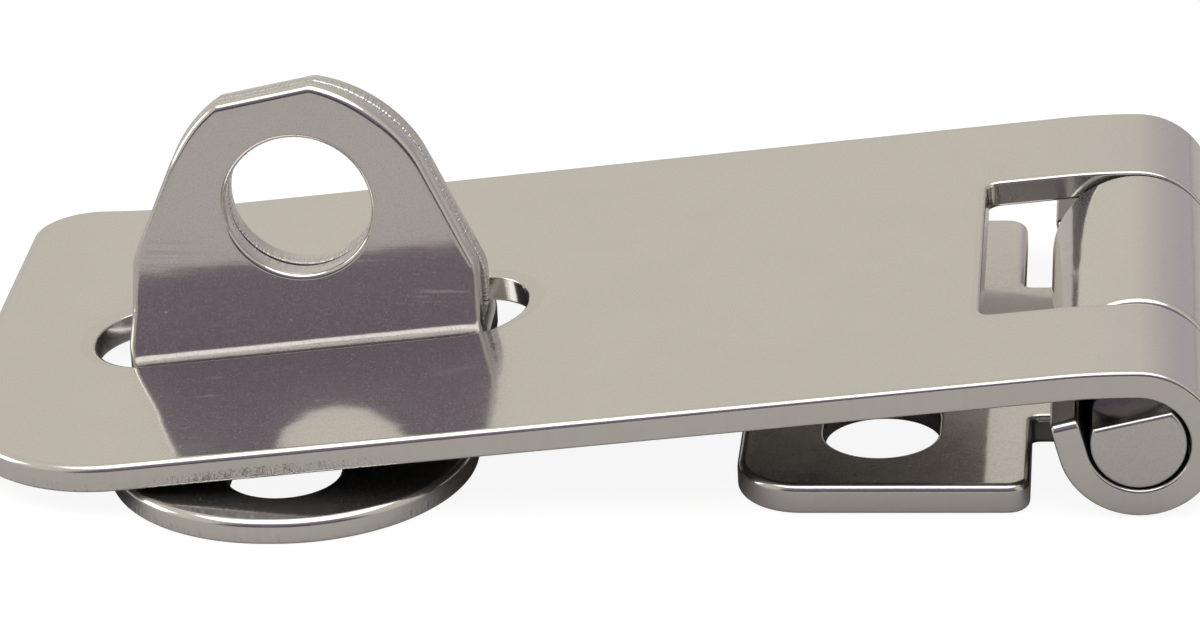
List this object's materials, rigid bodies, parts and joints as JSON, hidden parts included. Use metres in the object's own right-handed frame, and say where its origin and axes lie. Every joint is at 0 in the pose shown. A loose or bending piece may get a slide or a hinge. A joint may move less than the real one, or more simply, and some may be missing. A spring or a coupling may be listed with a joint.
{
  "type": "padlock hasp",
  "caption": "Hinged hasp of bright sheet steel: a slotted strap that swings on a pinned plate and closes over a folded staple for a padlock.",
  "frame": {"origin": "on the door face, straight below the hinge axis, at the middle of the strap's width", "axes": "+Z away from the door, +Y along the hinge axis, the closed strap reaches along -X to the staple"},
  "size_m": [0.0812, 0.0455, 0.0222],
  "materials": {
    "plate_steel": "tumbled bright sheet steel",
    "pin_steel": "turned bright steel",
    "strap_steel": "tumbled bright sheet steel",
    "staple_steel": "tumbled bright sheet steel"
  },
  "bodies": {
    "base": {"hinge_plate": "plate_steel", "hinge_pin": "pin_steel", "staple": "staple_steel"},
    "strap": {"strap": "strap_steel"}
  },
  "joints": [
    {"name": "strap_hinge", "type": "hinge", "parent": "base", "child": "strap", "pos_m": [0, 0, 0.00502], "axis": [0, 1, 0], "range_deg": [0, 180]}
  ]
}
